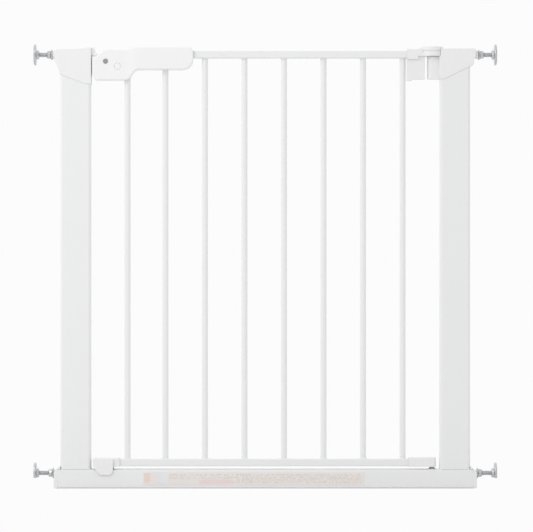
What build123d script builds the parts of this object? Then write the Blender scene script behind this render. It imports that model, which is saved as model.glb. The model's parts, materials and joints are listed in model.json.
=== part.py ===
from build123d import *
import os

os.makedirs("parts", exist_ok=True)

# Millimetres. X runs across the doorway, Y goes back through it and Z is up.
# The origin is the middle of the base rail's underside.

# Posts and base rail
post_outer_x = 340.0
post_width = 50.5
post_depth = 25.0
post_wall = 1.2
post_corner = 5.0
post_top_z = 708.0
post_inner_x = post_outer_x - post_width
post_mid_x = post_outer_x - post_width / 2
base_half_length = 345.0
base_depth = 26.0
base_height = 31.5
base_wall = 1.2
base_corner = 3.0

# Post caps and base corners
cap_depth = 28.0
cap_fit = 0.1
cap_edge = 1.6
cap_end_x = 349.5
cap_inner_x = 288.8
cap_screw_z = 698.0
latch_cap_top = 731.5
hinge_cap_top = 730.0
corner_end_x = 351.0

# Door rails and bars
door_depth = 18.0
door_rail_height = 12.0
door_rail_wall = 1.2
door_rail_corner = 1.5
top_rail_z = 720.3
bottom_rail_z = 42.6
top_rail_x = (-237.0, 252.0)
bottom_rail_x = (-262.0, 262.0)
bar_radius = 5.0
bar_wall = 1.0
first_bar_x = -229.0
second_bar_x = -166.0
bar_pitch = 65.7
bar_places = [first_bar_x] + [second_bar_x + bar_pitch * step for step in range(7)]
rail_fit = 0.1
bracket_screw_x = 245.0
shoe_screw_x = 250.0
catch_screw_x = -247.0

# Hinge
hinge_x = 277.0
pin_radius = 4.0
pin_fit = 0.05
barrel_radius = 8.0
barrel_z = (679.3, 716.8)
recess_floor_z = 717.1
hood_radius = 19.0
hood_z = (717.5, 734.5)
recess_radius = 19.6
dome_radius = 110.0
tab_depth = 16.0
tab_x = (235.5, 265.0)

# Handle and latch
housing_half = 14.0
grip_half = 16.0
shell_wall = 2.2
handle_left_x = -287.3
handle_right_x = -119.5
housing_bottom_z = 677.4
housing_top_z = 728.3
grip_bottom_z = 695.0
grip_top_z = 732.0
grip_start_x = -219.0
swell_x = (-233.0, -212.0)
handle_edge = 2.4
ledge_z = 717.0
bolt_half = 8.0
bolt_gap = 0.5
latch_travel = 8.0
rivet_x = -265.0
rivet_z = 708.6
rivet_radius = 2.5
rivet_head_radius = 4.2
rivet_head_height = 0.6
link_y = (9.4, 11.2)
link_z = (706.0, 714.0)
button_x = (-220.0, -200.0)
button_half = 6.0
screw_places = [(-245.0, 700.4), (-180.0, 705.4), (-140.0, 705.4)]
screw_radius = 1.5
cover_radius = 5.4
cover_depth = 1.2

# Wall spindles
upper_spindle_z = 720.0
lower_spindle_z = 25.0
pad_face_x = 384.3
pad_radius = 17.5
pad_flat = 7.5
hub_radius = 7.5
rod_radius = 4.0
rod_inner_x = 315.0
nut_length = 9.0
nut_across_flats = 12.5
upper_nut_x = 354.0
lower_nut_x = 351.5
upper_bush_flange = 7.0
upper_bush_stem = 5.2
lower_bush_flange = 6.3
lower_bush_stem = 4.8


def block(x, y, z):
    # a box between two corners, each range given as (low, high)
    middle = ((x[0] + x[1]) / 2, (y[0] + y[1]) / 2, (z[0] + z[1]) / 2)
    return Pos(*middle) * Box(x[1] - x[0], y[1] - y[0], z[1] - z[0])


def upright(x, y, z, radius):
    # a cylinder along Z
    return Pos(x, y, (z[0] + z[1]) / 2) * Cylinder(radius, z[1] - z[0])


def across(x, y, z, radius):
    # a cylinder along Y
    return Pos(x, (y[0] + y[1]) / 2, z) * Rot(90, 0, 0) * Cylinder(radius, y[1] - y[0])


def along(x, y, z, radius):
    # a cylinder along X
    return Pos((x[0] + x[1]) / 2, y, z) * Rot(0, 90, 0) * Cylinder(radius, x[1] - x[0])


def plate(corners, y):
    # an X-Z outline of (x, z, corner radius), made solid from y[0] to y[1]
    points = [(x, z) for x, z, radius in corners]
    radii = [radius for x, z, radius in corners]
    outline = FilletPolyline(*points, radius=radii, close=True)
    return extrude(Plane.XZ.offset(-y[1]) * make_face(outline), y[1] - y[0])


def turned(profile, plane):
    # a closed profile of (radius, height) turned about the plane's local Y axis
    outline = Polyline(*profile, close=True)
    return revolve(plane * make_face(outline), Axis(plane.origin, plane.y_dir))


def soften(shape, axis, radius):
    # round the outline edges of both faces square to an axis
    groups = shape.edges().group_by(axis)
    return fillet(groups[0] + groups[-1], radius)


def box_tube(plane, length, width, height, wall, corner):
    # a hollow rectangular tube that starts on a plane
    outer = RectangleRounded(width, height, corner)
    inner = RectangleRounded(width - 2 * wall, height - 2 * wall, corner - wall / 2)
    return extrude(plane * (outer - inner), length)


def mirrored(side, x):
    # a range of distances from the middle, on the left (-1) or right (1) side
    return (side * x[1], side * x[0]) if side < 0 else x


def spindle_axis(level):
    return upper_spindle_z if level == "top" else lower_spindle_z


# ---- Fixed frame ----


def cap_screw_hole(side):
    return across(side * post_mid_x, (post_depth / 2 - 4, cap_depth / 2 + 1), cap_screw_z, 1.55)


def post(side):
    plane = Plane(origin=(side * post_mid_x, 0, base_height), z_dir=(0, 0, 1))
    height = post_top_z - base_height
    tube = box_tube(plane, height, post_width, post_depth, post_wall, post_corner)
    return tube - cap_screw_hole(side)


def base_rail():
    plane = Plane(origin=(-base_half_length, 0, base_height / 2), x_dir=(0, 1, 0), z_dir=(1, 0, 0))
    tube = box_tube(plane, 2 * base_half_length, base_depth, base_height, base_wall, base_corner)
    bush_hole = upright(hinge_x, 0, (base_height - 4, base_height + 1), 6.05)
    return tube - bush_hole


def base_corner_piece(side):
    half = base_depth / 2
    rim = 5.0
    outline = [
        (base_half_length, 0, 0.2),
        (corner_end_x, 0, 2.0),
        (corner_end_x, 27.5, 2.0),
        (post_outer_x + 1.4, base_height + rim, 1.0),
        (post_outer_x, base_height + rim, 0.2),
        (post_outer_x, base_height, 0.2),
        (base_half_length, base_height, 0.2),
    ]
    if side < 0:
        outline = [(-x, z, radius) for x, z, radius in reversed(outline)]
    ending = plate(outline, (-half, half))
    rail_end = mirrored(side, (post_outer_x - 1, base_half_length))
    ending -= block(rail_end, (-half, half), (0, base_height))
    inner_y = half - base_wall - cap_fit
    plug = block(
        mirrored(side, (base_half_length - 16, base_half_length)),
        (-inner_y, inner_y),
        (base_wall + cap_fit, base_height - base_wall - cap_fit),
    )
    plug = fillet(plug.edges().filter_by(Axis.X), 3.0)
    seat_x = mirrored(side, (base_half_length - 17, corner_end_x + 1))
    seat = along(seat_x, 0, lower_spindle_z, lower_bush_stem + rail_fit)
    return ending + plug - seat


def post_space():
    # the room a post takes inside its cap
    across_x = post_width + 2 * cap_fit
    across_y = post_depth + 2 * cap_fit
    hollow = extrude(RectangleRounded(across_x, across_y, post_corner), post_top_z)
    return hollow


def cap_core(side):
    # the tongue that reaches down inside the post's tube
    x = post_width / 2 - post_wall - cap_fit
    y = post_depth / 2 - post_wall - cap_fit
    tongue = block((-x, x), (-y, y), (post_top_z - 14, post_top_z))
    tongue = fillet(tongue.edges().filter_by(Axis.Z), 4.8)
    return Pos(side * post_mid_x, 0, 0) * tongue


def spindle_bore(side):
    bore_x = mirrored(side, (297.6, cap_end_x + 1))
    return along(bore_x, 0, upper_spindle_z, upper_bush_stem + rail_fit)


def latch_post_cap():
    outline = [
        (-cap_inner_x, 671.0, 0.8),
        (-cap_inner_x, latch_cap_top, 0.8),
        (-298.0, latch_cap_top, 6.0),
        (-306.0, 729.6, 6.0),
        (-cap_end_x, 729.0, 3.0),
        (-cap_end_x, 709.0, 2.0),
        (-346.3, 704.5, 6.0),
        (-post_outer_x - 1.3, 687.0, 0.6),
        (-298.0, 671.0, 4.0),
    ]
    half = cap_depth / 2
    cap = soften(plate(outline, (-half, half)), Axis.Y, cap_edge)
    cap -= Pos(-post_mid_x, 0, 0) * post_space()
    cap += cap_core(-1)
    slot_half = bolt_half + bolt_gap
    bolt_slot = block((-296.0, -cap_inner_x + 1), (-slot_half, slot_half), (716.5, latch_cap_top + 1))
    return cap - bolt_slot - spindle_bore(-1) - cap_screw_hole(-1)


def hinge_post_cap():
    outline = [
        (cap_inner_x, barrel_z[0], 0.8),
        (296.0, barrel_z[0], 4.0),
        (302.0, 681.5, 4.0),
        (post_outer_x + 1.2, 700.8, 0.8),
        (345.8, 703.5, 1.5),
        (346.4, 712.6, 1.0),
        (cap_end_x, 715.5, 1.0),
        (cap_end_x, hinge_cap_top, 3.0),
        (cap_inner_x, hinge_cap_top, 0.8),
    ]
    half = cap_depth / 2
    cap = soften(plate(outline, (-half, half)), Axis.Y, cap_edge)
    cap -= Pos(post_mid_x, 0, 0) * post_space()
    cap += cap_core(1)
    arm = block((hinge_x, cap_inner_x + 0.5), (-barrel_radius, barrel_radius), barrel_z)
    cap += arm + upright(hinge_x, 0, barrel_z, barrel_radius)
    recess = upright(hinge_x, 0, (recess_floor_z, hinge_cap_top + 1), recess_radius)
    pin_bore = upright(hinge_x, 0, (696.8, barrel_z[1] + 1), pin_radius + pin_fit)
    return cap - recess - pin_bore - spindle_bore(1) - cap_screw_hole(1)


def screw(x, y_head, direction, z, length, head_radius):
    # a cross-head screw with its head at y_head, driven along direction in Y
    head_end = y_head + 1.8 * direction
    tip = y_head + length * direction
    head = across(x, sorted((y_head, head_end)), z, head_radius)
    shank = across(x, sorted((head_end, tip)), z, screw_radius)
    slot_y = sorted((y_head - direction, y_head + direction))
    slot = block((x - 1.8, x + 1.8), slot_y, (z - 0.35, z + 0.35))
    cross = block((x - 0.35, x + 0.35), slot_y, (z - 1.8, z + 1.8))
    return head + shank - slot - cross


def cap_screws():
    y_head = cap_depth / 2 + 1.8
    return [screw(side * post_mid_x, y_head, -1, cap_screw_z, 6.5, 3.0) for side in (-1, 1)]


def spindle_bush(side, level):
    # a flanged collar that guides a spindle rod
    z = spindle_axis(level)
    if level == "top":
        start, end = cap_end_x, upper_nut_x - 0.3
        stem_radius, flange_radius = upper_bush_stem, upper_bush_flange
    else:
        start, end = corner_end_x, lower_nut_x - 0.1
        stem_radius, flange_radius = lower_bush_stem, lower_bush_flange
    stem = along(mirrored(side, (start - 18, start)), 0, z, stem_radius)
    flange = along(mirrored(side, (start, end)), 0, z, flange_radius)
    bore = along(mirrored(side, (start - 19, end + 1)), 0, z, rod_radius + 0.08)
    return stem + flange - bore


def lower_hinge_bush():
    flange = upright(hinge_x, 0, (base_height, base_height + 0.8), 7.5)
    stem = upright(hinge_x, 0, (12.0, base_height), 6.0)
    bore = upright(hinge_x, 0, (14.0, base_height + 1), pin_radius + pin_fit)
    return flange + stem - bore


def printed_label():
    face_y = -base_depth / 2
    return block((-203.0, 165.0), (face_y - 0.12, face_y), (4.2, 27.0))


# ---- Hinge pins ----


def upper_hinge_pin():
    return upright(hinge_x, 0, (697.0, 731.7), pin_radius)


def lower_hinge_pin():
    stem = upright(hinge_x, 0, (14.3, 49.6), pin_radius)
    collar = upright(hinge_x, 0, (base_height + 0.9, base_height + 2.0), 5.4)
    return stem + collar


# ---- Door ----


def door_rail(x, z, holes):
    plane = Plane(origin=(x[0], 0, z), x_dir=(0, 1, 0), z_dir=(1, 0, 0))
    size = (x[1] - x[0], door_depth, door_rail_height, door_rail_wall, door_rail_corner)
    tube = box_tube(plane, *size)
    for hole_x in holes:
        tube -= fitting_hole(hole_x, z)
    return tube


def door_bar(x):
    z = (bottom_rail_z + door_rail_height / 2, top_rail_z - door_rail_height / 2)
    return upright(x, 0, z, bar_radius) - upright(x, 0, z, bar_radius - bar_wall)


def fitting_hole(x, z):
    # a screw hole through a fitting and the back wall of the rail inside it
    return across(x, (door_depth / 2 - 3, 13.0), z, screw_radius + 0.05)


def rail_socket(x, z):
    # the space around a rail's end, with its fit
    y = door_depth / 2 + rail_fit
    half = door_rail_height / 2 + rail_fit
    return block(x, (-y, y), (z - half, z + half))


def upper_hinge_bracket():
    sleeve_half = 12.0
    tab_half = tab_depth / 2
    sleeve_z = (712.0, 729.3)
    sleeve = block((tab_x[0], 254.0), (-sleeve_half, sleeve_half), sleeve_z)
    sleeve = fillet(sleeve.edges().filter_by(Axis.X), 1.5)
    neck = block((253.0, tab_x[1]), (-tab_half, tab_half), (sleeve_z[0], hood_z[0] + 1))
    bridge = block((253.0, hinge_x), (-sleeve_half, sleeve_half), (hood_z[0], sleeve_z[1]))
    tab_outline = [
        (tab_x[0], 677.0, 1.0),
        (243.0, 677.0, 2.0),
        (245.5, barrel_z[0], 2.0),
        (tab_x[1], barrel_z[0], 1.0),
        (tab_x[1], sleeve_z[0] + 2, 0.2),
        (tab_x[0], sleeve_z[0] + 2, 0.2),
    ]
    tab = plate(tab_outline, (-tab_half, tab_half))
    hood = upright(hinge_x, 0, (hood_z[0], hood_z[1] - 1.2), hood_radius)
    hood = fillet(hood.edges().group_by(Axis.Z)[-1], 2.2)
    dome = Pos(hinge_x, 0, hood_z[1] - dome_radius) * Sphere(dome_radius)
    hood += dome & upright(hinge_x, 0, (hood_z[1] - 2.0, hood_z[1]), hood_radius - 3.0)
    groove = upright(hinge_x, 0, (725.6, 726.4), hood_radius + 1)
    groove -= upright(hinge_x, 0, (725.0, 727.0), hood_radius - 0.6)
    groove -= block((200.0, 259.5), (-30, 30), (725.0, 727.0))
    pin_bore = upright(hinge_x, 0, (hood_z[0] - 1, 732.0), pin_radius + pin_fit)
    bracket = sleeve + neck + bridge + tab + hood
    bracket -= rail_socket((tab_x[0] - 1, top_rail_x[1]), top_rail_z)
    return bracket - pin_bore - groove - fitting_hole(bracket_screw_x, top_rail_z)


def lower_hinge_shoe():
    x = (238.0, 283.3)
    z = (35.8, 51.0)
    half = 11.0
    shoe = block(x, (-half, half), z)
    ends = shoe.edges().filter_by(Axis.Z).group_by(Axis.X)[-1]
    shoe = fillet(ends, 5.0)
    shoe = fillet(shoe.edges().group_by(Axis.Z)[-1], 1.2)
    socket = rail_socket((x[0] - 1, bottom_rail_x[1]), bottom_rail_z)
    socket += block((x[0] - 1, bottom_rail_x[1]), (-9.1, 9.1), (z[0] - 1, bottom_rail_z))
    pin_bore = upright(hinge_x, 0, (z[0] - 1, 49.9), pin_radius + pin_fit)
    return shoe - socket - pin_bore - fitting_hole(shoe_screw_x, bottom_rail_z)


def lower_catch():
    # a fork that drops over the base rail and stops the door swinging
    leg = (base_depth / 2 + 0.6, base_depth / 2 + 3.6)
    body_half = 11.5
    body_z = (35.8, 50.0)
    body = block((-284.8, -241.7), (-body_half, body_half), body_z)
    body = fillet(body.edges().filter_by(Axis.X).group_by(Axis.Z)[-1], 1.2)
    outline = [
        (-286.0, body_z[1] - 0.4, 1.5),
        (-286.0, 36.0, 1.0),
        (-274.5, 22.4, 3.0),
        (-252.5, 22.4, 8.0),
        (-252.5, body_z[1] - 0.4, 1.5),
    ]
    fork = soften(plate(outline, (-leg[1], leg[1])), Axis.Y, 0.9)
    fork -= block((-290, -250), (-leg[0], leg[0]), (20.0, base_height + 1.6))
    fork -= block((-290, -250), (-body_half + 0.5, body_half - 0.5), (20.0, 60.0))
    socket = rail_socket((bottom_rail_x[0], -240.0), bottom_rail_z)
    socket += block((bottom_rail_x[0], -240.0), (-9.1, 9.1), (body_z[0] - 1, bottom_rail_z))
    return body + fork - socket - fitting_hole(catch_screw_x, bottom_rail_z)


def handle_outline():
    return [
        (handle_left_x, 687.0, 4.0),
        (-282.0, housing_bottom_z, 4.0),
        (-227.0, housing_bottom_z, 8.0),
        (-215.5, grip_bottom_z, 12.0),
        (handle_right_x, grip_bottom_z, 18.0),
        (handle_right_x, grip_top_z, 8.0),
        (-225.0, grip_top_z, 2.6),
        (-228.3, housing_top_z, 1.4),
        (-268.0, housing_top_z, 3.0),
        (-281.0, ledge_z, 1.5),
        (handle_left_x, ledge_z, 2.6),
    ]


def handle_plan():
    # the handle seen from above: it swells smoothly from the lock housing to the grip
    left, right = handle_left_x - 1, handle_right_x + 1
    front_start, front_end = (swell_x[0], -housing_half), (swell_x[1], -grip_half)
    back_start, back_end = (swell_x[1], grip_half), (swell_x[0], housing_half)
    outline = Line((left, -housing_half), front_start)
    outline += Spline(front_start, front_end, tangents=[(1, 0), (1, 0)])
    outline += Polyline(front_end, (right, -grip_half), (right, grip_half), back_start)
    outline += Spline(back_start, back_end, tangents=[(-1, 0), (-1, 0)])
    outline += Polyline(back_end, (left, housing_half), (left, -housing_half))
    return make_face(outline)


def handle_body():
    # the closed outer form, with its front and back rims rounded
    height = grip_top_z - housing_bottom_z + 10
    plan = extrude(Pos(0, 0, housing_bottom_z - 5) * handle_plan(), height)
    body = plate(handle_outline(), (-grip_half - 2, grip_half + 2)) & plan
    rims = [edge for edge in body.edges() if abs(edge.center().Y) > housing_half - 0.01]
    rims = [edge for edge in rims if not edge.is_interior]
    return fillet(rims, handle_edge)


def handle_hollow():
    # the room inside the handle for the bolt, link, rail and bars
    wall = shell_wall
    lock_half = housing_half - wall
    grip_inner = grip_half - wall
    lock = plate(
        [
            (handle_left_x + wall, 688.0, 1.0),
            (-280.5, housing_bottom_z + wall, 2.0),
            (-231.0, housing_bottom_z + wall, 3.0),
            (-218.0, grip_bottom_z + wall + 1, 2.0),
            (-218.0, 713.5, 1.0),
            (-238.0, 713.5, 1.0),
            (-238.0, housing_top_z - wall, 1.0),
            (-267.0, housing_top_z - wall, 1.0),
            (-280.0, ledge_z - wall, 1.0),
            (handle_left_x + wall, ledge_z - wall, 1.0),
        ],
        (-lock_half, lock_half),
    )
    grip = plate(
        [
            (grip_start_x + 1, grip_bottom_z + wall, 1.0),
            (-124.0, grip_bottom_z + wall, 14.0),
            (-124.0, grip_top_z - wall, 5.0),
            (grip_start_x + 1, grip_top_z - wall, 1.0),
        ],
        (-grip_inner, grip_inner),
    )
    rail = rail_socket((-238.0, handle_right_x + 1), top_rail_z)
    mouth_y = door_depth / 2 + 0.7
    mouth_z = (top_rail_z - door_rail_height / 2 - 0.7, top_rail_z + door_rail_height / 2 + 0.7)
    rail += block((handle_right_x - 2.0, handle_right_x + 1), (-mouth_y, mouth_y), mouth_z)
    link_room = block((-262.0, -191.0), (9.0, lock_half), (705.5, 727.2))
    link_room += block((-220.0, -191.0), (9.0, lock_half), (705.5, grip_top_z - wall))
    bars = upright(first_bar_x, 0, (670.0, 716.0), bar_radius + 0.2)
    bars += upright(second_bar_x, 0, (690.0, 716.0), bar_radius + 0.2)
    groove_half = bolt_half + bolt_gap
    bolt_groove = block((-290.0, -269.0), (-groove_half, groove_half), (700.0, 735.0))
    button_half_y = button_half + 0.4
    button_slot = block((-225.5, -191.6), (-button_half_y, button_half_y), (727.0, 735.0))
    button_slot += block((-222.5, -191.0), (-8.4, lock_half), (727.0, grip_top_z - wall))
    return lock + grip + rail + link_room + bars + bolt_groove + button_slot


def spring_seat():
    return block((-236.5, -234.6), (-13.0, 9.0), (678.5, 713.9))


def screw_posts():
    posts = [across(x, (-14.5, 14.5), z, 3.5) for x, z in screw_places]
    return posts[0] + posts[1:]


def handle_shells():
    body = handle_body()
    solid_part = body - handle_hollow()
    inside = body & (spring_seat() + screw_posts())
    whole = solid_part + inside
    whole -= across(rivet_x, (-20, 20), rivet_z, rivet_radius + 0.1)
    half_space = block((-300, -100), (-20, 0), (660, 750))
    front = whole & half_space
    rear = whole - half_space
    for x, z in screw_places:
        front -= across(x, (-housing_half + 3.5, 1), z, screw_radius + 0.05)
        rear -= across(x, (-1, 20), z, screw_radius + 0.2)
        rear -= across(x, (housing_half - 2.5, 20), z, 3.3)
    cover_x, cover_z = screw_places[0]
    cover_y = (-housing_half - 1, -housing_half + cover_depth)
    front -= across(cover_x, cover_y, cover_z, cover_radius + 0.1)
    return front, rear


def handle_screws():
    y_head = housing_half - 0.7
    return [screw(x, y_head, -1, z, 22.0, 3.0) for x, z in screw_places]


def guide_rivet():
    shank = across(rivet_x, (-housing_half, housing_half), rivet_z, rivet_radius)
    head_half = housing_half + rivet_head_height
    front_head = across(rivet_x, (-head_half, -housing_half), rivet_z, rivet_head_radius)
    rear_head = across(rivet_x, (housing_half, head_half), rivet_z, rivet_head_radius)
    return shank + front_head + rear_head


def screw_cover():
    x, z = screw_places[0]
    disc = across(x, (-housing_half - 0.1, -housing_half + cover_depth - 0.05), z, cover_radius)
    front_edge = disc.edges().group_by(Axis.Y)[0]
    return chamfer(front_edge, 0.5)


def bolt_spring():
    coil_radius = 3.4
    wire_radius = 0.4
    length = 12.0
    path = Helix(pitch=2.0, height=length, radius=coil_radius)
    start = Plane(origin=path @ 0, z_dir=path % 0)
    coil = sweep(start * Circle(wire_radius), path=path)
    return Pos(-249.3, 0, 708.6) * Rot(0, 90, 0) * coil


def fitting_screws():
    # the screws at the back that hold the hinge fittings and the catch to the door rails
    bracket = screw(bracket_screw_x, 12.0 + 1.8, -1, top_rail_z, 7.0, 3.0)
    shoe = screw(shoe_screw_x, 11.0 + 1.8, -1, bottom_rail_z, 6.0, 3.0)
    catch = screw(catch_screw_x, 11.5 + 1.8, -1, bottom_rail_z, 6.0, 3.0)
    return [bracket, shoe, catch]


# ---- Latch ----


def latch_bolt():
    plate_right = -250.0
    outline = [
        (-294.0, 718.0, 0.6),
        (-284.5, 718.0, 0.4),
        (-284.5, 701.0, 1.0),
        (-258.0, 701.0, 1.0),
        (-256.0, 706.0, 1.0),
        (plate_right, 706.0, 0.6),
        (plate_right, 714.0, 0.6),
        (-277.0, 714.0, 2.0),
        (-279.5, 721.5, 0.6),
        (-283.0, 722.5, 0.6),
        (-283.0, 731.3, 0.8),
        (-294.0, 731.3, 1.6),
    ]
    bolt = plate(outline, (-bolt_half, bolt_half))
    slot_half = rivet_radius + 0.3
    slot_left = rivet_x - latch_travel
    slot = block((slot_left, rivet_x), (-10, 10), (rivet_z - slot_half, rivet_z + slot_half))
    slot += across(slot_left, (-10, 10), rivet_z, slot_half)
    slot += across(rivet_x, (-10, 10), rivet_z, slot_half)
    lug = block((-258.0, -251.0), (bolt_half, link_y[0]), link_z)
    return bolt - slot + lug


def latch_link():
    outline = [
        (-258.0, link_z[0], 0.8),
        (-204.0, link_z[0], 0.8),
        (-204.0, 728.0, 0.2),
        (-216.0, 728.0, 0.2),
        (-216.0, link_z[1], 2.0),
        (-258.0, link_z[1], 0.8),
    ]
    return plate(outline, link_y)


def thumb_slide():
    base = block(button_x, (-button_half - 2, link_y[1]), (728.0, 729.5))
    pad = block(button_x, (-button_half, button_half), (729.5, grip_top_z + 0.2))
    for step in range(5):
        x = button_x[0] + 4.0 + 3.0 * step
        pad -= block((x - 0.5, x + 0.5), (-10, 10), (grip_top_z - 0.5, grip_top_z + 1))
    return base + pad


# ---- Wall spindles ----


def spindle_rod(side, level):
    x = (rod_inner_x, pad_face_x - 4.0)
    rod = along(mirrored(side, x), 0, spindle_axis(level), rod_radius)
    return chamfer(rod.edges(), 0.6)


def facing_outward(side, x, z):
    # a plane whose local Y runs outward along the spindle from a distance x
    return Plane(origin=(side * x, 0, z), x_dir=(0, 1, 0), z_dir=(0, 0, -side))


def spindle_nut(side, level):
    start = upper_nut_x if level == "top" else lower_nut_x
    z = spindle_axis(level)
    facing = facing_outward(side, start, z)
    flare = turned([(0, 0), (9.0, 0), (9.0, 1.5), (5.6, 3.8), (0, 3.8)], facing)
    hexagon = RegularPolygon(nut_across_flats / 2, 6, major_radius=False)
    face = Plane(origin=(side * (start + 3.4), 0, z), z_dir=(side, 0, 0)) * hexagon
    body = extrude(face, nut_length - 3.4)
    nose = [(0, 0), (7.5, 0), (7.5, nut_length - 3.2), (5.0, nut_length), (0, nut_length)]
    body &= turned(nose, facing)
    bore = along(mirrored(side, (start - 1, start + nut_length + 1)), 0, z, rod_radius + pin_fit)
    return flare + body - bore


def pad_blank(side, level, profile):
    # a turned disc, with a flat below the axis on the lower pads
    z = spindle_axis(level)
    disc = turned(profile, facing_outward(side, pad_face_x - 8.3, z))
    if level == "bottom":
        below = (z - pad_radius - 5, z - pad_flat)
        disc -= block(mirrored(side, (pad_face_x - 10, pad_face_x + 1)), (-20, 20), below)
    return disc


def pad_cup(side, level):
    profile = [
        (0, 0),
        (hub_radius, 0),
        (hub_radius, 3.6),
        (10.5, 4.6),
        (pad_radius - 0.6, 4.6),
        (pad_radius, 5.2),
        (pad_radius, 7.6),
        (pad_radius - 1.0, 8.0),
        (pad_radius - 1.0, 7.0),
        (0, 7.0),
    ]
    rod_end = along(
        mirrored(side, (pad_face_x - 9, pad_face_x - 4.0)), 0, spindle_axis(level), rod_radius
    )
    return pad_blank(side, level, profile) - rod_end


def pad_rubber(side, level):
    radius = pad_radius - 1.1
    return pad_blank(side, level, [(0, 7.0), (radius, 7.0), (radius, 8.1), (radius - 0.4, 8.3), (0, 8.3)])


def save(name, shape):
    solids = shape if isinstance(shape, list) else [shape]
    solids = [solid for piece in solids for solid in piece.solids()]
    whole = solids[0] if len(solids) == 1 else Compound(children=solids)
    export_step(whole, f"parts/{name}.step")


def build():
    front_shell, rear_shell = handle_shells()
    pieces = {
        "left_post": post(-1),
        "right_post": post(1),
        "base_rail": base_rail(),
        "base_corner_left": base_corner_piece(-1),
        "base_corner_right": base_corner_piece(1),
        "latch_post_cap": latch_post_cap(),
        "hinge_post_cap": hinge_post_cap(),
        "cap_screws": cap_screws(),
        "lower_hinge_bush": lower_hinge_bush(),
        "printed_label": printed_label(),
        "upper_hinge_pin": upper_hinge_pin(),
        "lower_hinge_pin": lower_hinge_pin(),
        "door_top_rail": door_rail(top_rail_x, top_rail_z, [bracket_screw_x]),
        "door_bottom_rail": door_rail(
            bottom_rail_x, bottom_rail_z, [shoe_screw_x, catch_screw_x]
        ),
        "upper_hinge_bracket": upper_hinge_bracket(),
        "lower_hinge_shoe": lower_hinge_shoe(),
        "lower_catch": lower_catch(),
        "handle_front_shell": front_shell,
        "handle_rear_shell": rear_shell,
        "handle_screws": handle_screws(),
        "guide_rivet": guide_rivet(),
        "screw_cover": screw_cover(),
        "bolt_spring": bolt_spring(),
        "fitting_screws": fitting_screws(),
        "latch_bolt": latch_bolt(),
        "latch_link": latch_link(),
        "thumb_slide": thumb_slide(),
    }
    for number, x in enumerate(bar_places, start=1):
        pieces[f"bar_{number}"] = door_bar(x)
    for side, side_name in ((-1, "left"), (1, "right")):
        for level in ("top", "bottom"):
            place = f"{level}_{side_name}"
            pieces[f"spindle_bush_{place}"] = spindle_bush(side, level)
            pieces[f"spindle_nut_{place}"] = spindle_nut(side, level)
            pieces[f"spindle_rod_{place}"] = spindle_rod(side, level)
            pieces[f"pad_cup_{place}"] = pad_cup(side, level)
            pieces[f"pad_rubber_{place}"] = pad_rubber(side, level)
    for name, shape in pieces.items():
        save(name, shape)


build()
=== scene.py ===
import bpy
import bmesh
import json
import math
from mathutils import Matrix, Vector


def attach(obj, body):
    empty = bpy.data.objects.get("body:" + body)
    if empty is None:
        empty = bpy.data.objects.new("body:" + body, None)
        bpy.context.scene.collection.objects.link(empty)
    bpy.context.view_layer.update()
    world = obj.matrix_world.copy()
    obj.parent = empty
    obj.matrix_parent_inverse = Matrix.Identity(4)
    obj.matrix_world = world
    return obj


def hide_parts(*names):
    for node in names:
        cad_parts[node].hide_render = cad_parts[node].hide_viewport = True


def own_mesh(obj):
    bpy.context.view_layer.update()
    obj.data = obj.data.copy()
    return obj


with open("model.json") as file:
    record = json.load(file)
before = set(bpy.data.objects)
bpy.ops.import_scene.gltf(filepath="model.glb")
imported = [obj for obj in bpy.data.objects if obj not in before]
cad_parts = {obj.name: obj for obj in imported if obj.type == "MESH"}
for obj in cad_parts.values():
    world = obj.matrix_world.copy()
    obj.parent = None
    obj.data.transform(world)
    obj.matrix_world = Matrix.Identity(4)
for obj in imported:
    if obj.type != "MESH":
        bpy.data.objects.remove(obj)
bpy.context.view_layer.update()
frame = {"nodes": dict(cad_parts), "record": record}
nodes = frame["nodes"]
scene = bpy.context.scene
print("frame loaded,", len(nodes), "nodes")

places = ["top_left", "bottom_left", "top_right", "bottom_right"]
mm = 0.001


# ---------- camera, light and floor

studio = {
    "cameraX": 0.002,
    "cameraHeight": 0.369,
    "cameraDistance": 5.0,
    "lens": 203.1,
    "backdrop": 0.973,      # what the camera sees behind the gate
    "skyFront": 0.755,       # what lights the gate from the camera's side
    "skyBack": 1.12,        # and from behind it
    "keyPower": 15.4,
    "keyPlace": (-1.5, -1.7, 1.9),
    "keySize": 1.3,
    "floorSize": 12.0,
}


def aimAt(obj, target):
    direction = Vector(target) - obj.location
    obj.rotation_euler = direction.to_track_quat("-Z", "Y").to_euler()


def makeCamera():
    data = bpy.data.cameras.new("camera")
    data.lens = studio["lens"]
    data.sensor_width = 36.0
    camera = bpy.data.objects.new("camera", data)
    scene.collection.objects.link(camera)
    camera.location = (studio["cameraX"], -studio["cameraDistance"], studio["cameraHeight"])
    camera.rotation_euler = (math.radians(90), 0, 0)
    scene.camera = camera


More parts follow.
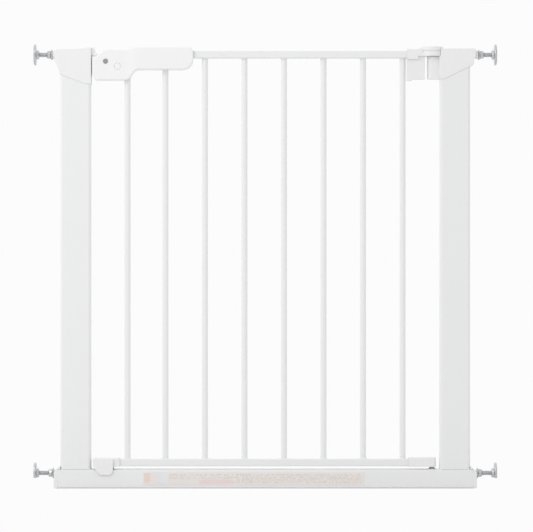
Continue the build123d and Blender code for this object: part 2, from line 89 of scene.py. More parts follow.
def makeWorld():
    world = bpy.data.worlds.new("studioWhite")
    scene.world = world
    world.use_nodes = True
    tree = world.node_tree
    tree.nodes.clear()
    path = tree.nodes.new("ShaderNodeLightPath")
    seen = tree.nodes.new("ShaderNodeBackground")
    seen.inputs["Color"].default_value = (1, 1, 1, 1)
    seen.inputs["Strength"].default_value = studio["backdrop"]
    fill = tree.nodes.new("ShaderNodeBackground")
    fill.inputs["Color"].default_value = (1, 1, 1, 1)
    coords = tree.nodes.new("ShaderNodeTexCoord")
    split = tree.nodes.new("ShaderNodeSeparateXYZ")
    tree.links.new(coords.outputs["Generated"], split.inputs["Vector"])
    sweep = tree.nodes.new("ShaderNodeMapRange")
    sweep.inputs["From Min"].default_value = -1.0
    sweep.inputs["From Max"].default_value = 1.0
    sweep.inputs["To Min"].default_value = studio["skyFront"]
    sweep.inputs["To Max"].default_value = studio["skyBack"]
    tree.links.new(split.outputs["Y"], sweep.inputs["Value"])
    tree.links.new(sweep.outputs["Result"], fill.inputs["Strength"])
    mix = tree.nodes.new("ShaderNodeMixShader")
    out = tree.nodes.new("ShaderNodeOutputWorld")
    tree.links.new(path.outputs["Is Camera Ray"], mix.inputs["Fac"])
    tree.links.new(fill.outputs["Background"], mix.inputs[1])
    tree.links.new(seen.outputs["Background"], mix.inputs[2])
    tree.links.new(mix.outputs["Shader"], out.inputs["Surface"])


def makeKeyLight():
    data = bpy.data.lights.new("keyLight", "AREA")
    data.energy = studio["keyPower"]
    data.shape = "SQUARE"
    data.size = studio["keySize"]
    light = bpy.data.objects.new("keyLight", data)
    scene.collection.objects.link(light)
    light.location = studio["keyPlace"]
    light.visible_camera = False
    aimAt(light, (0, 0, 0.35))


def makeFloor():
    half = studio["floorSize"] / 2
    mesh = bpy.data.meshes.new("floor")
    corners = [(-half, -half, 0), (half, -half, 0), (half, half, 0), (-half, half, 0)]
    mesh.from_pydata(corners, [], [(0, 1, 2, 3)])
    floor = bpy.data.objects.new("floor", mesh)
    scene.collection.objects.link(floor)
    material = bpy.data.materials.new("floorWhite")
    material.use_nodes = True
    tree = material.node_tree
    tree.nodes.clear()
    path = tree.nodes.new("ShaderNodeLightPath")
    seen = tree.nodes.new("ShaderNodeEmission")
    seen.inputs["Strength"].default_value = studio["backdrop"]
    matt = tree.nodes.new("ShaderNodeBsdfDiffuse")
    matt.inputs["Color"].default_value = (0.85, 0.85, 0.85, 1)
    mix = tree.nodes.new("ShaderNodeMixShader")
    out = tree.nodes.new("ShaderNodeOutputMaterial")
    tree.links.new(path.outputs["Is Camera Ray"], mix.inputs["Fac"])
    tree.links.new(matt.outputs["BSDF"], mix.inputs[1])
    tree.links.new(seen.outputs["Emission"], mix.inputs[2])
    tree.links.new(mix.outputs["Shader"], out.inputs["Surface"])
    mesh.materials.append(material)


makeCamera()
makeWorld()
makeKeyLight()
makeFloor()
scene.view_settings.view_transform = "Standard"
print("studio ready")


# ---------- node groups that several finishes share

def newGroup(name, inputs, outputs):
    group = bpy.data.node_groups.new(name, "ShaderNodeTree")
    for label, kind, value in inputs:
        socket = group.interface.new_socket(name=label, in_out="INPUT", socket_type=kind)
        socket.default_value = value
    for label, kind in outputs:
        group.interface.new_socket(name=label, in_out="OUTPUT", socket_type=kind)
    start = group.nodes.new("NodeGroupInput")
    end = group.nodes.new("NodeGroupOutput")
    return group, start, end


def mathNode(tree, operation, a, b=None):
    node = tree.nodes.new("ShaderNodeMath")
    node.operation = operation
    for index, value in enumerate((a, b)):
        if value is None:
            continue
        if isinstance(value, (int, float)):
            node.inputs[index].default_value = value
        else:
            tree.links.new(value, node.inputs[index])
    return node.outputs[0]


def orangePeelGroup():
    # height of a sprayed or moulded skin: broad soft bumps with a finer grain on them
    group, start, end = newGroup(
        "orangePeel",
        [
            ("Bumps Per Metre", "NodeSocketFloat", 700.0),
            ("Grain Per Metre", "NodeSocketFloat", 3500.0),
            ("Grain Share", "NodeSocketFloat", 0.25),
        ],
        [("Height", "NodeSocketFloat")],
    )
    coords = group.nodes.new("ShaderNodeTexCoord")
    broad = group.nodes.new("ShaderNodeTexNoise")
    broad.inputs["Detail"].default_value = 1.5
    fine = group.nodes.new("ShaderNodeTexNoise")
    fine.inputs["Detail"].default_value = 2.0
    for noise, label in ((broad, "Bumps Per Metre"), (fine, "Grain Per Metre")):
        group.links.new(coords.outputs["Object"], noise.inputs["Vector"])
        group.links.new(start.outputs[label], noise.inputs["Scale"])
    grain = mathNode(group, "MULTIPLY", fine.outputs["Fac"], start.outputs["Grain Share"])
    total = mathNode(group, "ADD", broad.outputs["Fac"], grain)
    group.links.new(total, end.inputs["Height"])
    return group


def mottleGroup():
    # slow unevenness of colour and gloss over a large surface
    group, start, end = newGroup(
        "mottle",
        [
            ("Color", "NodeSocketColor", (0.8, 0.8, 0.8, 1)),
            ("Shade", "NodeSocketColor", (0.7, 0.7, 0.7, 1)),
            ("Patches Per Metre", "NodeSocketFloat", 14.0),
            ("Strength", "NodeSocketFloat", 0.3),
            ("Roughness", "NodeSocketFloat", 0.4),
            ("Roughness Spread", "NodeSocketFloat", 0.08),
        ],
        [("Color", "NodeSocketColor"), ("Roughness", "NodeSocketFloat")],
    )
    coords = group.nodes.new("ShaderNodeTexCoord")
    noise = group.nodes.new("ShaderNodeTexNoise")
    noise.inputs["Detail"].default_value = 4.0
    group.links.new(coords.outputs["Object"], noise.inputs["Vector"])
    group.links.new(start.outputs["Patches Per Metre"], noise.inputs["Scale"])
    amount = mathNode(group, "MULTIPLY", noise.outputs["Fac"], start.outputs["Strength"])
    mix = group.nodes.new("ShaderNodeMix")
    mix.data_type = "RGBA"
    group.links.new(amount, mix.inputs["Factor"])
    group.links.new(start.outputs["Color"], mix.inputs["A"])
    group.links.new(start.outputs["Shade"], mix.inputs["B"])
    group.links.new(mix.outputs["Result"], end.inputs["Color"])
    centred = mathNode(group, "SUBTRACT", noise.outputs["Fac"], 0.5)
    spread = mathNode(group, "MULTIPLY", centred, start.outputs["Roughness Spread"])
    rough = mathNode(group, "ADD", spread, start.outputs["Roughness"])
    group.links.new(rough, end.inputs["Roughness"])
    return group


def edgeGroup():
    # a mask that is 1 along outer edges, from a rounded normal against the true one
    group, start, end = newGroup(
        "edges",
        [("Width", "NodeSocketFloat", 0.0006), ("Gain", "NodeSocketFloat", 3.0)],
        [("Mask", "NodeSocketFloat"), ("Normal", "NodeSocketVector")],
    )
    bevel = group.nodes.new("ShaderNodeBevel")
    bevel.samples = 4
    group.links.new(start.outputs["Width"], bevel.inputs["Radius"])
    geometry = group.nodes.new("ShaderNodeNewGeometry")
    dot = group.nodes.new("ShaderNodeVectorMath")
    dot.operation = "DOT_PRODUCT"
    group.links.new(bevel.outputs["Normal"], dot.inputs[0])
    group.links.new(geometry.outputs["Normal"], dot.inputs[1])
    away = mathNode(group, "SUBTRACT", 1.0, dot.outputs["Value"])
    mask = mathNode(group, "MULTIPLY", away, start.outputs["Gain"])
    limited = mathNode(group, "MINIMUM", mask, 1.0)
    group.links.new(limited, end.inputs["Mask"])
    group.links.new(bevel.outputs["Normal"], end.inputs["Normal"])
    return group


def creviceGroup():
    # a mask that is 1 deep in seams and corners, for painted shade where less light gets in
    group, start, end = newGroup(
        "creviceShade",
        [("Reach", "NodeSocketFloat", 0.003), ("Strength", "NodeSocketFloat", 0.8)],
        [("Mask", "NodeSocketFloat")],
    )
    hidden = group.nodes.new("ShaderNodeAmbientOcclusion")
    hidden.samples = 6
    group.links.new(start.outputs["Reach"], hidden.inputs["Distance"])
    closed = mathNode(group, "SUBTRACT", 1.0, hidden.outputs["AO"])
    mask = mathNode(group, "MULTIPLY", closed, start.outputs["Strength"])
    limited = mathNode(group, "MINIMUM", mask, 1.0)
    group.links.new(limited, end.inputs["Mask"])
    return group


orangePeel = orangePeelGroup()
mottle = mottleGroup()
edges = edgeGroup()
creviceShade = creviceGroup()


def placeGroup(tree, group, **values):
    node = tree.nodes.new("ShaderNodeGroup")
    node.node_tree = group
    for label, value in values.items():
        node.inputs[label.replace("_", " ")].default_value = value
    return node


def newMaterial(name):
    material = bpy.data.materials.new(name)
    material.use_nodes = True
    tree = material.node_tree
    return material, tree, tree.nodes["Principled BSDF"]


def addBump(tree, shader, height, depth, normal=None):
    bump = tree.nodes.new("ShaderNodeBump")
    bump.inputs["Strength"].default_value = 1.0
    bump.inputs["Distance"].default_value = depth
    tree.links.new(height, bump.inputs["Height"])
    if normal is not None:
        tree.links.new(normal, bump.inputs["Normal"])
    tree.links.new(bump.outputs["Normal"], shader.inputs["Normal"])


def mixColors(tree, factor, a, b):
    mix = tree.nodes.new("ShaderNodeMix")
    mix.data_type = "RGBA"
    for label, value in (("Factor", factor), ("A", a), ("B", b)):
        if isinstance(value, (int, float, tuple)):
            mix.inputs[label].default_value = value
        else:
            tree.links.new(value, mix.inputs[label])
    return mix.outputs["Result"]


# painted shade: mixes the colour towards a dark grey in seams and corners, found by ambient occlusion
def darkenSeams(tree, color, finish):
    seamShade = placeGroup(tree, creviceShade, Reach=finish["seamReach"], Strength=finish["seamStrength"])
    return mixColors(tree, seamShade.outputs["Mask"], color, finish["seamShade"])


# ---------- finishes

powderCoat = {
    "color": (0.845, 0.848, 0.850, 1),
    "shade": (0.800, 0.803, 0.806, 1),
    "metallic": 0.0,
    "roughness": 0.42,
    "roughnessSpread": 0.12,
    "patchesPerMetre": 9.0,
    "patchStrength": 0.5,
    "bumpsPerMetre": 620.0,
    "grainShare": 0.15,
    "bumpDepth": 0.00003,
    "edgeRadius": 0.0005,
    # painted shade in seams and corners: the grey they are darkened towards, its reach and strength
    "seamShade": (0.48, 0.48, 0.49, 1),
    "seamReach": 0.003,
    "seamStrength": 0.16,
}

mouldings = {
    "color": (0.850, 0.852, 0.850, 1),
    "shade": (0.815, 0.816, 0.812, 1),
    "metallic": 0.0,
    "roughness": 0.48,
    "roughnessSpread": 0.08,
    "patchesPerMetre": 30.0,
    "patchStrength": 0.5,
    "bumpsPerMetre": 4200.0,
    "grainShare": 0.0,
    "bumpDepth": 0.00003,
    "edgeRadius": 0.0004,
    # painted shade in seams and corners: the grey they are darkened towards, its reach and strength
    "seamShade": (0.50, 0.50, 0.51, 1),
    "seamReach": 0.003,
    "seamStrength": 0.16,
}

handleSkin = {
    "color": (0.885, 0.886, 0.884, 1),
    "shade": (0.862, 0.862, 0.860, 1),
    "metallic": 0.0,
    "roughness": 0.33,
    "roughnessSpread": 0.06,
    "patchesPerMetre": 25.0,
    "patchStrength": 0.5,
    "bumpsPerMetre": 3000.0,
    "grainShare": 0.0,
    "bumpDepth": 0.00001,
    "edgeRadius": 0.0004,
    # painted shade in seams and corners: the grey they are darkened towards, its reach and strength
    "seamShade": (0.50, 0.50, 0.51, 1),
    "seamReach": 0.003,
    "seamStrength": 0.16,
}

zincPlate = {
    "color": (0.70, 0.71, 0.72, 1),
    "shade": (0.45, 0.46, 0.475, 1),
    "metallic": 1.0,
    "roughness": 0.34,
    "roughnessSpread": 0.25,
    "patchesPerMetre": 420.0,
    "patchStrength": 0.9,
    "bumpsPerMetre": 1500.0,
    "grainShare": 0.5,
    "bumpDepth": 0.00002,
    "edgeRadius": 0.0003,
    "edgeHighlight": (0.84, 0.84, 0.83, 1),      # painted highlight: a lighter colour along the edges
    "edgeHighlightGain": 4.0,
}

darkSteel = {
    "color": (0.40, 0.40, 0.405, 1),
    "shade": (0.30, 0.30, 0.305, 1),
    "metallic": 0.8,
    "roughness": 0.38,
    "roughnessSpread": 0.2,
    "patchesPerMetre": 500.0,
    "patchStrength": 0.7,
    "bumpsPerMetre": 2500.0,
    "grainShare": 0.4,
    "bumpDepth": 0.00001,
    "edgeRadius": 0.0003,
}

padRubber = {
    "color": (0.055, 0.056, 0.058, 1),
    "shade": (0.13, 0.13, 0.128, 1),    # dust
    "metallic": 0.0,
    "roughness": 0.72,
    "roughnessSpread": 0.15,
    "patchesPerMetre": 260.0,
    "patchStrength": 0.7,
    "bumpsPerMetre": 2600.0,
    "grainShare": 0.6,
    "bumpDepth": 0.00004,
    "edgeRadius": 0.0003,
}


def patchyTone(tree, finish):
    return placeGroup(tree, mottle, Color=finish["color"], Shade=finish["shade"],
                      Patches_Per_Metre=finish["patchesPerMetre"], Strength=finish["patchStrength"],
                      Roughness=finish["roughness"], Roughness_Spread=finish["roughnessSpread"])


def bumpySkin(tree, finish):
    return placeGroup(tree, orangePeel, Bumps_Per_Metre=finish["bumpsPerMetre"],
                      Grain_Share=finish["grainShare"])


def makeFinish(name, finish):
    material, tree, shader = newMaterial(name)
    shader.inputs["Metallic"].default_value = finish["metallic"]
    tone = patchyTone(tree, finish)
    skin = bumpySkin(tree, finish)
    edge = placeGroup(tree, edges, Width=finish["edgeRadius"])
    color = tone.outputs["Color"]
    # painted highlight: lighter colour along the edges, from the edge mask
    if "edgeHighlight" in finish:
        edge.inputs["Gain"].default_value = finish["edgeHighlightGain"]
        color = mixColors(tree, edge.outputs["Mask"], color, finish["edgeHighlight"])
    # painted shade in seams and corners
    if "seamShade" in finish:
        color = darkenSeams(tree, color, finish)
    tree.links.new(color, shader.inputs["Base Color"])
    tree.links.new(tone.outputs["Roughness"], shader.inputs["Roughness"])
    addBump(tree, shader, skin.outputs["Height"], finish["bumpDepth"], edge.outputs["Normal"])
    return material


labelFilm = {
    "color": (0.830, 0.792, 0.766, 1),
    "shade": (0.800, 0.762, 0.738, 1),
    "ink": (0.68, 0.60, 0.53, 1),
    "paleInk": (0.78, 0.74, 0.80, 1),
    "red": (0.83, 0.69, 0.67, 1),
    "orange": (0.83, 0.68, 0.60, 1),
    "blue": (0.78, 0.815, 0.84, 1),
    "roughness": 0.38,
    "roughnessSpread": 0.1,
    "patchesPerMetre": 60.0,
    "patchStrength": 0.6,
    "bumpsPerMetre": 900.0,
    "grainShare": 0.4,
    "bumpDepth": 0.000008,
    "cell": 0.0013,         # width of one printed dash
    "row": 0.0022,          # from one line of dashes to the next
    "dashLow": 0.2,         # where a dash starts and ends in its line, as shares of the row
    "dashHigh": 0.75,
    "coverage": 0.45,
    # blocks as (left, right, low, high), in metres
    "orangeBlock": (-0.2010, -0.1910, 0.0100, 0.0257),
    "blueBlock": (-0.1740, -0.1616, 0.0090, 0.0257),
    "redStrip": (-0.1100, -0.0520, 0.0080, 0.0140),
    "darkRows": (-0.1590, 0.1600, 0.0145, 0.0240),
    "lowRows": (-0.0500, 0.1600, 0.0090, 0.0145),
    "paleRows": (-0.1990, 0.1560, 0.0050, 0.0085),
}


def between(tree, value, low, high):
    above = mathNode(tree, "GREATER_THAN", value, low)
    return mathNode(tree, "MULTIPLY", above, mathNode(tree, "LESS_THAN", value, high))


def boxMask(tree, x, z, limits):
    left, right, low, high = limits
    return mathNode(tree, "MULTIPLY", between(tree, x, left, right), between(tree, z, low, high))


def dashMask(tree, x, z):
    # short dashes of random length in even lines, standing for print
    lines = mathNode(tree, "DIVIDE", z, labelFilm["row"])
    cell = tree.nodes.new("ShaderNodeCombineXYZ")
    cellX = mathNode(tree, "FLOOR", mathNode(tree, "DIVIDE", x, labelFilm["cell"]))
    tree.links.new(cellX, cell.inputs["X"])
    tree.links.new(mathNode(tree, "FLOOR", lines), cell.inputs["Y"])
    noise = tree.nodes.new("ShaderNodeTexWhiteNoise")
    noise.noise_dimensions = "2D"
    tree.links.new(cell.outputs["Vector"], noise.inputs["Vector"])
    printed = mathNode(tree, "LESS_THAN", noise.outputs["Value"], labelFilm["coverage"])
    inLine = between(tree, mathNode(tree, "FRACT", lines), labelFilm["dashLow"], labelFilm["dashHigh"])
    return mathNode(tree, "MULTIPLY", printed, inLine)


def labelMaterial(name):
    material, tree, shader = newMaterial(name)
    coords = tree.nodes.new("ShaderNodeTexCoord")
    split = tree.nodes.new("ShaderNodeSeparateXYZ")
    tree.links.new(coords.outputs["Object"], split.inputs["Vector"])
    x, z = split.outputs["X"], split.outputs["Z"]
    tone = patchyTone(tree, labelFilm)
    color = tone.outputs["Color"]
    dashes = dashMask(tree, x, z)
    for area, ink in (("darkRows", "ink"), ("lowRows", "ink"), ("paleRows", "paleInk")):
        mask = mathNode(tree, "MULTIPLY", dashes, boxMask(tree, x, z, labelFilm[area]))
        color = mixColors(tree, mask, color, labelFilm[ink])
    for area, ink in (("redStrip", "red"), ("orangeBlock", "orange"), ("blueBlock", "blue")):
        color = mixColors(tree, boxMask(tree, x, z, labelFilm[area]), color, labelFilm[ink])
    tree.links.new(color, shader.inputs["Base Color"])
    tree.links.new(tone.outputs["Roughness"], shader.inputs["Roughness"])
    skin = bumpySkin(tree, labelFilm)
    addBump(tree, shader, skin.outputs["Height"], labelFilm["bumpDepth"])
    return material


finishes = {
    "painted_steel": makeFinish("powderCoatWhite", powderCoat),
    "moulded_white": makeFinish("mouldedWhite", mouldings),
    "handle_white": makeFinish("handleWhite", handleSkin),
    "zinc_steel": makeFinish("zincPlate", zincPlate),
    "dark_steel": makeFinish("darkSteel", darkSteel),
    "pad_rubber": makeFinish("padRubber", padRubber),
    "label_print": labelMaterial("labelFilm"),
}


def paintCadNodes():
    for part in frame["record"]["subparts"]:
        obj = nodes[part["node"]]
        obj.data.materials.clear()
        obj.data.materials.append(finishes[part["material_slot"]])


paintCadNodes()
print("finishes on")


# ---------- mesh helpers, worked in millimetres

def turnsRound(count):
    return [2 * math.pi * step / count for step in range(count)]


def joinRings(bm, lower, upper):
    # quads between two rings of the same count, or a fan where one is a single point
    if len(lower) == 1 or len(upper) == 1:
        point, ring = (lower[0], upper) if len(lower) == 1 else (upper[0], lower)
        for index in range(len(ring)):
            bm.faces.new((point, ring[index], ring[(index + 1) % len(ring)]))
        return
    for index in range(len(lower)):
        after = (index + 1) % len(lower)
        bm.faces.new((lower[index], lower[after], upper[after], upper[index]))


def loft(bm, rings, loop=False):
    for lower, upper in zip(rings, rings[1:]):
        joinRings(bm, lower, upper)
    if loop:
        joinRings(bm, rings[-1], rings[0])


def newObject(name, bm, material, body, replaced=(), sharp=35):
    bmesh.ops.recalc_face_normals(bm, faces=bm.faces)
    bmesh.ops.scale(bm, vec=(mm, mm, mm), verts=bm.verts)
    mesh = bpy.data.meshes.new(name)
    bm.to_mesh(mesh)
    bm.free()
    mesh.polygons.foreach_set("use_smooth", [True] * len(mesh.polygons))
    mesh.set_sharp_from_angle(angle=math.radians(sharp))
    mesh.materials.append(material)
    obj = bpy.data.objects.new(name, mesh)
    scene.collection.objects.link(obj)
    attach(obj, body)
    if replaced:
        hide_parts(*replaced)
    return obj


def sideOf(place):
    return -1 if place.endswith("left") else 1


def spindleHeight(place):
    return 720.0 if place.startswith("top") else 25.0


def ringAlongX(bm, side, x, z, radiusAt, count):
    return [
        bm.verts.new((side * x, radiusAt(a) * math.cos(a), z + radiusAt(a) * math.sin(a)))
        for a in turnsRound(count)
    ]


# ---------- threaded spindle rods

rodShape = {
    "start": 315.0,         # inner end, inside the frame
    "end": 380.3,
    "crest": 3.95,
    "root": 3.28,
    "endRadius": 2.93,      # where the ends are chamfered
    "pitch": 1.25,
    "stepsPerPitch": 8,
    "around": 24,
    "endTaper": 1.6,
}


def threadRadius(turn):
    # a rounded sixty degree thread; turn is how far along one pitch, from 0 to 1
    wave = abs(2 * (turn % 1.0) - 1)
    share = min(max((wave - 0.12) / 0.76, 0.0), 1.0)
    return rodShape["root"] + (rodShape["crest"] - rodShape["root"]) * share


def makeRod(place):
    bm = bmesh.new()
    side, z = sideOf(place), spindleHeight(place)
    length = rodShape["end"] - rodShape["start"]
    count = int(length / rodShape["pitch"] * rodShape["stepsPerPitch"])
    rings = []
    for step in range(count + 1):
        along = length * step / count
        toEnd = min(along, length - along)
        taper = min(toEnd / rodShape["endTaper"], 1.0)
        limit = rodShape["endRadius"] + (rodShape["crest"] - rodShape["endRadius"]) * taper

        def radiusAt(angle, along=along, limit=limit):
            handed = angle * side / (2 * math.pi)      # right-hand thread on both sides
            return min(threadRadius(along / rodShape["pitch"] - handed), limit)

        rings.append(ringAlongX(bm, side, rodShape["start"] + along, z, radiusAt, rodShape["around"]))
    loft(bm, rings)
    bm.faces.new(rings[0])
    bm.faces.new(rings[-1])
    newObject("threadedRod_" + place, bm, finishes["zinc_steel"], "spindle_" + place,
              ["spindle_rod_" + place], sharp=50)


# ---------- hand nuts: a flared flange that runs into a hexagon

nutShape = {
    "startTop": 354.0,
    "startBottom": 351.5,
    "acrossFlats": 12.4,
    "segments": 48,
}


def hexRadius(angle):
    sixth = math.pi / 3
    inSide = (angle % sixth) - sixth / 2
    return nutShape["acrossFlats"] / 2 / math.cos(inSide)


def makeNut(place):
    bm = bmesh.new()
    side, z = sideOf(place), spindleHeight(place)
    start = nutShape["startTop"] if place.startswith("top") else nutShape["startBottom"]
    # distance out, largest radius there, and how far the section is a hexagon
    sections = [
        (0.5, 4.08, 0), (0.0, 4.7, 0), (0.0, 7.9, 0), (0.15, 8.5, 0), (0.45, 8.88, 0), (1.05, 8.95, 0),
        (1.42, 8.75, 0), (1.75, 8.3, 0), (2.2, 7.7, 0), (2.8, 6.85, 0.1), (3.3, 6.2, 0.35),
        (3.75, 6.9, 0.8), (4.1, 7.3, 1), (6.0, 7.3, 1), (6.6, 7.1, 1), (7.2, 6.6, 1), (8.0, 5.9, 1),
        (8.75, 5.35, 1), (9.0, 5.0, 1), (9.0, 4.6, 0), (8.5, 4.08, 0),
    ]
    rings = []
    for out, largest, flat in sections:
        def radiusAt(angle, largest=largest, flat=flat):
            flatted = min(hexRadius(angle), largest)
            return largest + (flatted - largest) * flat
        rings.append(ringAlongX(bm, side, start + out, z, radiusAt, nutShape["segments"]))
    loft(bm, rings, loop=True)
    newObject("handNut_" + place, bm, finishes["zinc_steel"], "nut_" + place,
              ["spindle_nut_" + place], sharp=28)


# ---------- wall pads: a pressed steel cup with a ribbed rubber face

padShape = {
    "back": 376.0,          # where the hub starts
    "segments": 72,
    "flatBelow": 7.5,       # the lower pads are cut off this far under the spindle
    "cup": [
        (4.02, 0.35), (4.5, 0.0), (6.6, 0.0), (7.2, 0.2), (7.48, 0.7), (7.5, 2.9), (7.7, 3.5), (8.4, 4.0),
        (10.2, 4.55), (11.6, 4.62), (12.2, 4.35), (13.1, 4.28), (13.9, 4.4), (14.5, 4.65), (16.2, 4.7),
        (16.9, 4.85), (17.3, 5.2), (17.48, 5.7), (17.5, 7.3), (17.35, 7.75), (17.0, 7.98), (16.6, 7.9),
        (16.45, 7.5), (16.45, 7.02), (4.02, 7.02),
    ],
    "rubberGrooves": [3.5, 6.0, 8.5, 11.0, 13.5],
    "grooveHalf": 0.45,
    "grooveDepth": 0.45,
}


def cutFlat(bm, z):
    geometry = bm.verts[:] + bm.edges[:] + bm.faces[:]
    bmesh.ops.bisect_plane(bm, geom=geometry, plane_co=(0, 0, z - padShape["flatBelow"]),
                           plane_no=(0, 0, -1), clear_outer=True)
    rim = [edge for edge in bm.edges if edge.is_boundary]
    bmesh.ops.holes_fill(bm, edges=rim, sides=0)


def lathePad(bm, side, z, profile, loop):
    rings = []
    for radius, out in profile:
        x = padShape["back"] + out
        if radius == 0:
            rings.append([bm.verts.new((side * x, 0, z))])
            continue
        rings.append(ringAlongX(bm, side, x, z, lambda a, r=radius: r, padShape["segments"]))
    loft(bm, rings, loop)


def rubberProfile():
    profile = [(0, 7.05), (16.3, 7.05), (16.35, 7.2), (16.35, 8.05), (16.2, 8.22), (15.9, 8.3)]
    for radius in reversed(padShape["rubberGrooves"]):
        half, depth = padShape["grooveHalf"], padShape["grooveDepth"]
        profile += [(radius + half, 8.3), (radius + half * 0.5, 8.3 - depth),
                    (radius - half * 0.5, 8.3 - depth), (radius - half, 8.3)]
    return profile + [(0, 8.3)]


def makePad(place):
    side, z = sideOf(place), spindleHeight(place)
    for name, profile, loop, node, slot in (
        ("padCup_", padShape["cup"], True, "pad_cup_", "zinc_steel"),
        ("padFace_", rubberProfile(), False, "pad_rubber_", "pad_rubber"),
    ):
        bm = bmesh.new()
        lathePad(bm, side, z, profile, loop)
        if place.startswith("bottom"):
            cutFlat(bm, z)
        newObject(name + place, bm, finishes[slot], "spindle_" + place, [node + place], sharp=40)


for place in places:
    makeRod(place)
    makeNut(place)
    makePad(place)
print("spindles made")


# ---------- screws with cross recesses, all driven from the back

screwShape = {
    "headRadius": 2.95,
    "headHeight": 1.75,
    "armLength": 1.7,
    "armHalf": 0.4,
    "recessDepth": 1.15,
    "shankRadius": 1.45,
    "groups": [
        # piece, body, node, then (x, z, height of the head's top, length)
        ("capScrews", "frame", "cap_screws", [(-314.75, 698.0, 15.8, 6.4), (314.75, 698.0, 15.8, 6.4)]),
        ("handleScrews", "door", "handle_screws",
         [(-245.0, 700.4, 13.3, 21.8), (-180.0, 705.4, 13.3, 21.8), (-140.0, 705.4, 13.3, 21.8)]),
        ("fittingScrews", "door", "fitting_screws",
         [(245.0, 720.3, 13.8, 6.9), (250.0, 42.6, 12.8, 5.9), (-247.0, 42.6, 13.3, 5.9)]),
    ],
}


def crossOutline(length, half):
    quarter = [(length, -half), (length, 0), (length, half), ((length + half) / 2, half), (half, half),
               (half, (length + half) / 2)]
    points = []
    for turn in range(4):
        for x, z in quarter:
            for _ in range(turn):
                x, z = -z, x
            points.append((x, z))
    return points


def addScrew(bm, x, z, yTop, length):
    radius, height = screwShape["headRadius"], screwShape["headHeight"]
    angles = [a - math.pi / 12 for a in turnsRound(24)]

    def circle(r, below):
        return [bm.verts.new((x + r * math.cos(a), yTop - below, z + r * math.sin(a))) for a in angles]

    def cross(scale, below):
        outline = crossOutline(screwShape["armLength"] * scale, screwShape["armHalf"] * scale)
        return [bm.verts.new((x + px, yTop - below, z + pz)) for px, pz in outline]

    shank = screwShape["shankRadius"]
    rings = [
        [bm.verts.new((x, yTop - length, z))],
        circle(0.4, length - 0.1), circle(shank, length - 1.6), circle(shank, height),
        circle(radius * 0.99, height), circle(radius, height - 0.25), circle(radius * 0.985, height * 0.55),
        circle(radius * 0.9, height * 0.26), circle(radius * 0.76, height * 0.08),
        cross(1.0, 0.04), cross(0.95, 0.12), cross(0.62, screwShape["recessDepth"]),
        [bm.verts.new((x, yTop - screwShape["recessDepth"] - 0.25, z))],
    ]
    loft(bm, rings)


def makeScrews():
    for name, body, node, screws in screwShape["groups"]:
        bm = bmesh.new()
        for x, z, yTop, length in screws:
            addScrew(bm, x, z, yTop, length)
        newObject(name, bm, finishes["zinc_steel"], body, [node], sharp=45)


makeScrews()
print("screws made")


# ---------- welds

weldShape = {
    "firstBar": -229.0,
    "secondBar": -166.0,
    "barPitch": 65.7,
    "bars": 8,
    "hiddenTops": 2,        # the first bars end inside the handle
    "railTop": 48.6,        # top face of the lower rail
    "railUnder": 714.3,     # underside of the upper rail
    "inner": 4.7,           # inside the bar's wall
    # radius and height of the fillet, from the rail up the bar
    "profile": [(4.7, -0.1), (6.55, -0.1), (6.3, 0.18), (5.85, 0.42), (5.45, 0.85), (5.18, 1.35),
                (4.98, 1.9), (4.7, 1.9)],
    "ripple": 0.13,
    "segments": 36,
}


def addBarWeld(bm, x, z, up, seed):
    rings = []
    for index, (radius, height) in enumerate(weldShape["profile"]):
        outer = 0 < index < len(weldShape["profile"]) - 1
        ring = []
        for a in turnsRound(weldShape["segments"]):
            wobble = math.sin(9 * a + seed) + 0.6 * math.sin(4 * a + 2.3 * seed)
            r = radius + (weldShape["ripple"] * wobble * 0.5 if outer else 0)
            r = max(r, weldShape["inner"])
            ring.append(bm.verts.new((x + r * math.cos(a), r * math.sin(a), z + up * height)))
        rings.append(ring)
    loft(bm, rings, loop=True)


def barX(number):
    if number == 0:
        return weldShape["firstBar"]
    return weldShape["secondBar"] + (number - 1) * weldShape["barPitch"]


def makeBarWelds():
    bm = bmesh.new()
    for number in range(weldShape["bars"]):
        x = barX(number)
        addBarWeld(bm, x, weldShape["railTop"], 1, 1.7 * number)
        if number >= weldShape["hiddenTops"]:
            addBarWeld(bm, x, weldShape["railUnder"], -1, 1.7 * number + 0.9)
    newObject("barWelds", bm, finishes["painted_steel"], "door", sharp=60)


footWeld = {
    "postMiddle": 314.75,
    "halfWidth": 25.25,
    "halfDepth": 12.5,
    "corner": 5.0,
    "railTop": 31.5,
    "railHalfDepth": 13.0,
    "railCorner": 3.0,
    "bead": 0.6,
    "faceInset": 0.45,      # how far the bead sinks into the front and back faces
    "sideInset": 0.1,
    "around": 10,
    "perCorner": 8,
}


def railSurface(y):
    # height of the base rail's rounded top at a distance y from its middle
    over = max(abs(y) - (footWeld["railHalfDepth"] - footWeld["railCorner"]), 0)
    over = min(over, footWeld["railCorner"] * 0.98)
    return footWeld["railTop"] - footWeld["railCorner"] + math.sqrt(footWeld["railCorner"] ** 2 - over ** 2)


def footPath():
    # the post's outline, anticlockwise, with its outward direction at each point
    points = []
    w, d, r = footWeld["halfWidth"], footWeld["halfDepth"], footWeld["corner"]
    corners = [(w - r, d - r, 0), (-(w - r), d - r, 90),
               (-(w - r), -(d - r), 180), (w - r, -(d - r), 270)]
    for cx, cy, start in corners:
        for step in range(footWeld["perCorner"] + 1):
            a = math.radians(start + 90 * step / footWeld["perCorner"])
            points.append((cx + r * math.cos(a), cy + r * math.sin(a), math.cos(a), math.sin(a)))
    dense = []
    for index, point in enumerate(points):
        after = points[(index + 1) % len(points)]
        gap = math.hypot(after[0] - point[0], after[1] - point[1])
        pieces = max(int(gap / 1.6), 1)
        for part in range(pieces):
            t = part / pieces
            dense.append(tuple(p + (q - p) * t for p, q in zip(point, after)))
    return dense


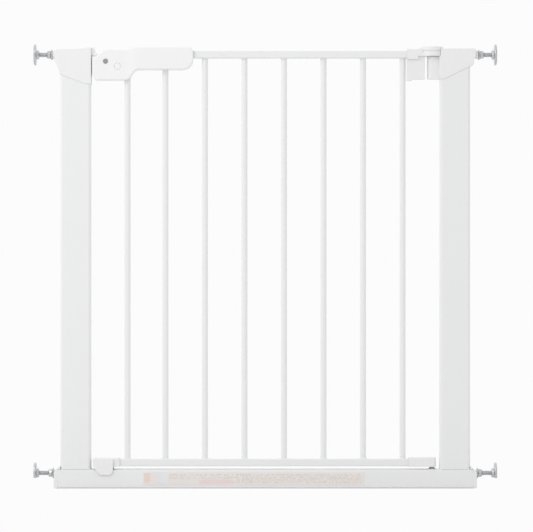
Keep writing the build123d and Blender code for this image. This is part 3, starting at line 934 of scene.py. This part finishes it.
def makeFootWelds():
    bm = bmesh.new()
    for side in (-1, 1):
        rings = []
        for index, (px, py, nx, ny) in enumerate(footPath()):
            bead = footWeld["bead"] * (1 + 0.12 * math.sin(1.9 * index) + 0.06 * math.sin(0.7 * index))
            inset = footWeld["faceInset"] if abs(ny) > 0.5 else footWeld["sideInset"]
            cx, cy = side * footWeld["postMiddle"] + px - nx * inset, py - ny * inset
            cz = railSurface(cy) + 0.05
            rings.append([
                bm.verts.new((cx + nx * bead * math.cos(a), cy + ny * bead * math.cos(a),
                              cz + bead * math.sin(a)))
                for a in turnsRound(footWeld["around"])
            ])
        loft(bm, rings, loop=True)
    newObject("postFootWelds", bm, finishes["painted_steel"], "frame", sharp=70)


makeBarWelds()
makeFootWelds()
print("welds made")


# ---------- the bolt's return spring, inside the handle

springShape = {
    "start": -249.3,
    "length": 12.0,
    "height": 708.6,
    "coil": 3.4,
    "wire": 0.38,
    "turns": 6,
    "stepsPerTurn": 24,
    "around": 8,
    "fixedEnd": -0.2365,
    "keep": 0.37,
}


def makeSpring():
    bm = bmesh.new()
    rings = []
    count = springShape["turns"] * springShape["stepsPerTurn"]
    for step in range(count + 1):
        a = 2 * math.pi * step / springShape["stepsPerTurn"]
        x = springShape["start"] + springShape["length"] * step / count
        ring = []
        for b in turnsRound(springShape["around"]):
            r = springShape["coil"] + springShape["wire"] * math.cos(b)
            ring.append(bm.verts.new((x + springShape["wire"] * math.sin(b), r * math.cos(a),
                                      springShape["height"] + r * math.sin(a))))
        rings.append(ring)
    loft(bm, rings)
    bm.faces.new(rings[0])
    bm.faces.new(rings[-1])
    spring = newObject("boltSpring", bm, finishes["zinc_steel"], "door",
                       ["bolt_spring"])
    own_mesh(spring)


makeSpring()


# ---------- printed label on the base rail: a thin film with rounded corners

labelShape = {
    "left": -202.6,
    "right": 164.6,
    "low": 4.5,
    "high": 26.7,
    "corner": 1.8,
    "back": -13.0,
    "front": -13.11,
}


def labelRing(bm, y, inset):
    ring = []
    s = labelShape
    r = s["corner"] - inset
    for cx, cz, start in ((s["right"] - s["corner"], s["high"] - s["corner"], 0),
                          (s["left"] + s["corner"], s["high"] - s["corner"], 90),
                          (s["left"] + s["corner"], s["low"] + s["corner"], 180),
                          (s["right"] - s["corner"], s["low"] + s["corner"], 270)):
        for step in range(7):
            a = math.radians(start + 15 * step)
            ring.append(bm.verts.new((cx + r * math.cos(a), y, cz + r * math.sin(a))))
    return ring


def makeLabel():
    bm = bmesh.new()
    rings = [labelRing(bm, labelShape["back"], 0), labelRing(bm, labelShape["front"] + 0.03, 0),
             labelRing(bm, labelShape["front"], 0.05)]
    loft(bm, rings)
    bm.faces.new(rings[0])
    bm.faces.new(rings[-1])
    newObject("printedLabel", bm, finishes["label_print"], "frame",
              ["printed_label"], sharp=30)


makeLabel()
print("label made")
